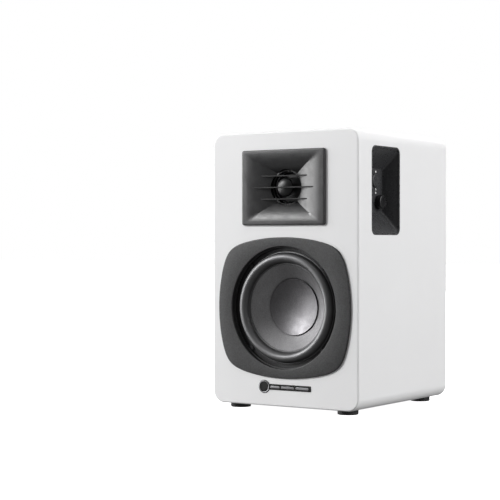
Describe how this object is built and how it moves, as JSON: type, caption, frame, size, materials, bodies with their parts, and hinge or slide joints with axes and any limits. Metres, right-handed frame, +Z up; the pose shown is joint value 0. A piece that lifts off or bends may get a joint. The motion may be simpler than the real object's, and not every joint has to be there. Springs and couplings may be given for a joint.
{
  "type": "powered bookshelf speaker",
  "caption": "Compact white powered bookshelf speaker with a horn tweeter, a 3-inch woofer and a control pocket in its side.",
  "frame": {"origin": "on the floor, under the middle of the whole speaker", "axes": "+Z up, the drive units face -Y, and the control pocket is on the +X side"},
  "size_m": [0.126, 0.149, 0.205],
  "materials": {
    "white_laminate": "satin white vinyl laminate over fibreboard",
    "satin_black_plastic": "fine-grained dark moulding",
    "pocket_plastic": "smooth dark moulding",
    "black_plastic": "satin black",
    "red_plastic": "satin red",
    "badge_plastic": "smooth black",
    "black_rubber": "soft matt butyl rubber",
    "foot_rubber": "matt rubber",
    "cone_paper": "coated pulp, dark",
    "silk_dome": "coated silk",
    "voice_coil": "copper winding on its former",
    "plated_steel": "zinc plated",
    "ferrite": "sintered ferrite",
    "black_metal": "black powder coat",
    "spider_cloth": "woven, resin treated",
    "circuit_board": "green solder mask",
    "aluminium": "plain extruded",
    "light_guide": "clear frosted",
    "wadding": "loose fibre",
    "transformer_steel": "varnished laminations",
    "capacitor_sleeve": "shrunk sleeve",
    "wire_insulation": "insulated wire"
  },
  "bodies": {
    "cabinet": {"amplifier_board": "circuit_board", "amplifier_plate": "black_metal", "badge": "badge_plastic", "bass_port": "black_plastic", "cabinet_wrap": "white_laminate", "control_board": "circuit_board", "control_cable": "wire_insulation", "control_housing": "pocket_plastic", "damping_pad": "wadding", "diffuser": "satin_black_plastic", "filter_capacitor_1": "capacitor_sleeve", "filter_capacitor_2": "capacitor_sleeve", "foot_front_left": "foot_rubber", "foot_front_right": "foot_rubber", "foot_rear_left": "foot_rubber", "foot_rear_right": "foot_rubber", "front_baffle": "white_laminate", "headphone_jack": "black_plastic", "heat_sink": "aluminium", "horn": "satin_black_plastic", "light_pipe": "light_guide", "plate_screw_1": "plated_steel", "plate_screw_2": "plated_steel", "plate_screw_3": "plated_steel", "plate_screw_4": "plated_steel", "power_inlet": "black_plastic", "power_switch": "black_plastic", "rca_jack_left": "black_plastic", "rca_jack_right": "red_plastic", "rear_panel": "white_laminate", "speaker_terminal": "black_plastic", "transformer": "transformer_steel", "tweeter_frame": "black_metal", "tweeter_lead": "wire_insulation", "tweeter_magnet": "ferrite", "tweeter_top_plate": "plated_steel", "tweeter_yoke": "plated_steel", "volume_encoder": "plated_steel", "woofer_basket": "black_metal", "woofer_lead": "wire_insulation", "woofer_magnet": "ferrite", "woofer_screw_1": "black_metal", "woofer_screw_2": "black_metal", "woofer_screw_3": "black_metal", "woofer_screw_4": "black_metal", "woofer_spider": "spider_cloth", "woofer_surround": "black_rubber", "woofer_top_plate": "plated_steel", "woofer_trim_ring": "satin_black_plastic", "woofer_yoke": "plated_steel"},
    "woofer_cone": {"woofer_cone": "cone_paper", "woofer_dust_cap": "cone_paper", "woofer_voice_coil": "voice_coil"},
    "tweeter_dome": {"tweeter_dome": "silk_dome", "tweeter_voice_coil": "voice_coil"},
    "volume_knob": {"volume_knob": "black_plastic"},
    "input_button": {"input_button": "pocket_plastic"},
    "power_rocker": {"power_rocker": "black_plastic"},
    "terminal_lever_red": {"terminal_lever_red": "red_plastic"},
    "terminal_lever_black": {"terminal_lever_black": "black_plastic"}
  },
  "joints": [
    {"name": "woofer_travel", "type": "slide", "parent": "cabinet", "child": "woofer_cone", "axis": [0, -1, 0], "range_m": [-0.002, 0.002], "stiffness_N_per_m": 1200},
    {"name": "tweeter_travel", "type": "slide", "parent": "cabinet", "child": "tweeter_dome", "axis": [0, -1, 0], "range_m": [-0.0002, 0.0002], "stiffness_N_per_m": 3000},
    {"name": "volume_turn", "type": "hinge", "parent": "cabinet", "child": "volume_knob", "pos_m": [0.0505, -0.0223, 0.1534], "axis": [1, 0, 0], "range_deg": [-150, 150]},
    {"name": "input_press", "type": "slide", "parent": "cabinet", "child": "input_button", "axis": [-1, 0, 0], "range_m": [0, 0.0012], "stiffness_N_per_m": 600},
    {"name": "power_rock", "type": "hinge", "parent": "cabinet", "child": "power_rocker", "pos_m": [0.022, 0.0677, 0.0355], "axis": [1, 0, 0], "range_deg": [-10, 10]},
    {"name": "terminal_red_open", "type": "hinge", "parent": "cabinet", "child": "terminal_lever_red", "pos_m": [-0.029, 0.0695, 0.1102], "axis": [-1, 0, 0], "range_deg": [0, 35], "stiffness_Nm_per_rad": 0.02},
    {"name": "terminal_black_open", "type": "hinge", "parent": "cabinet", "child": "terminal_lever_black", "pos_m": [-0.015, 0.0695, 0.1102], "axis": [-1, 0, 0], "range_deg": [0, 35], "stiffness_Nm_per_rad": 0.02}
  ]
}
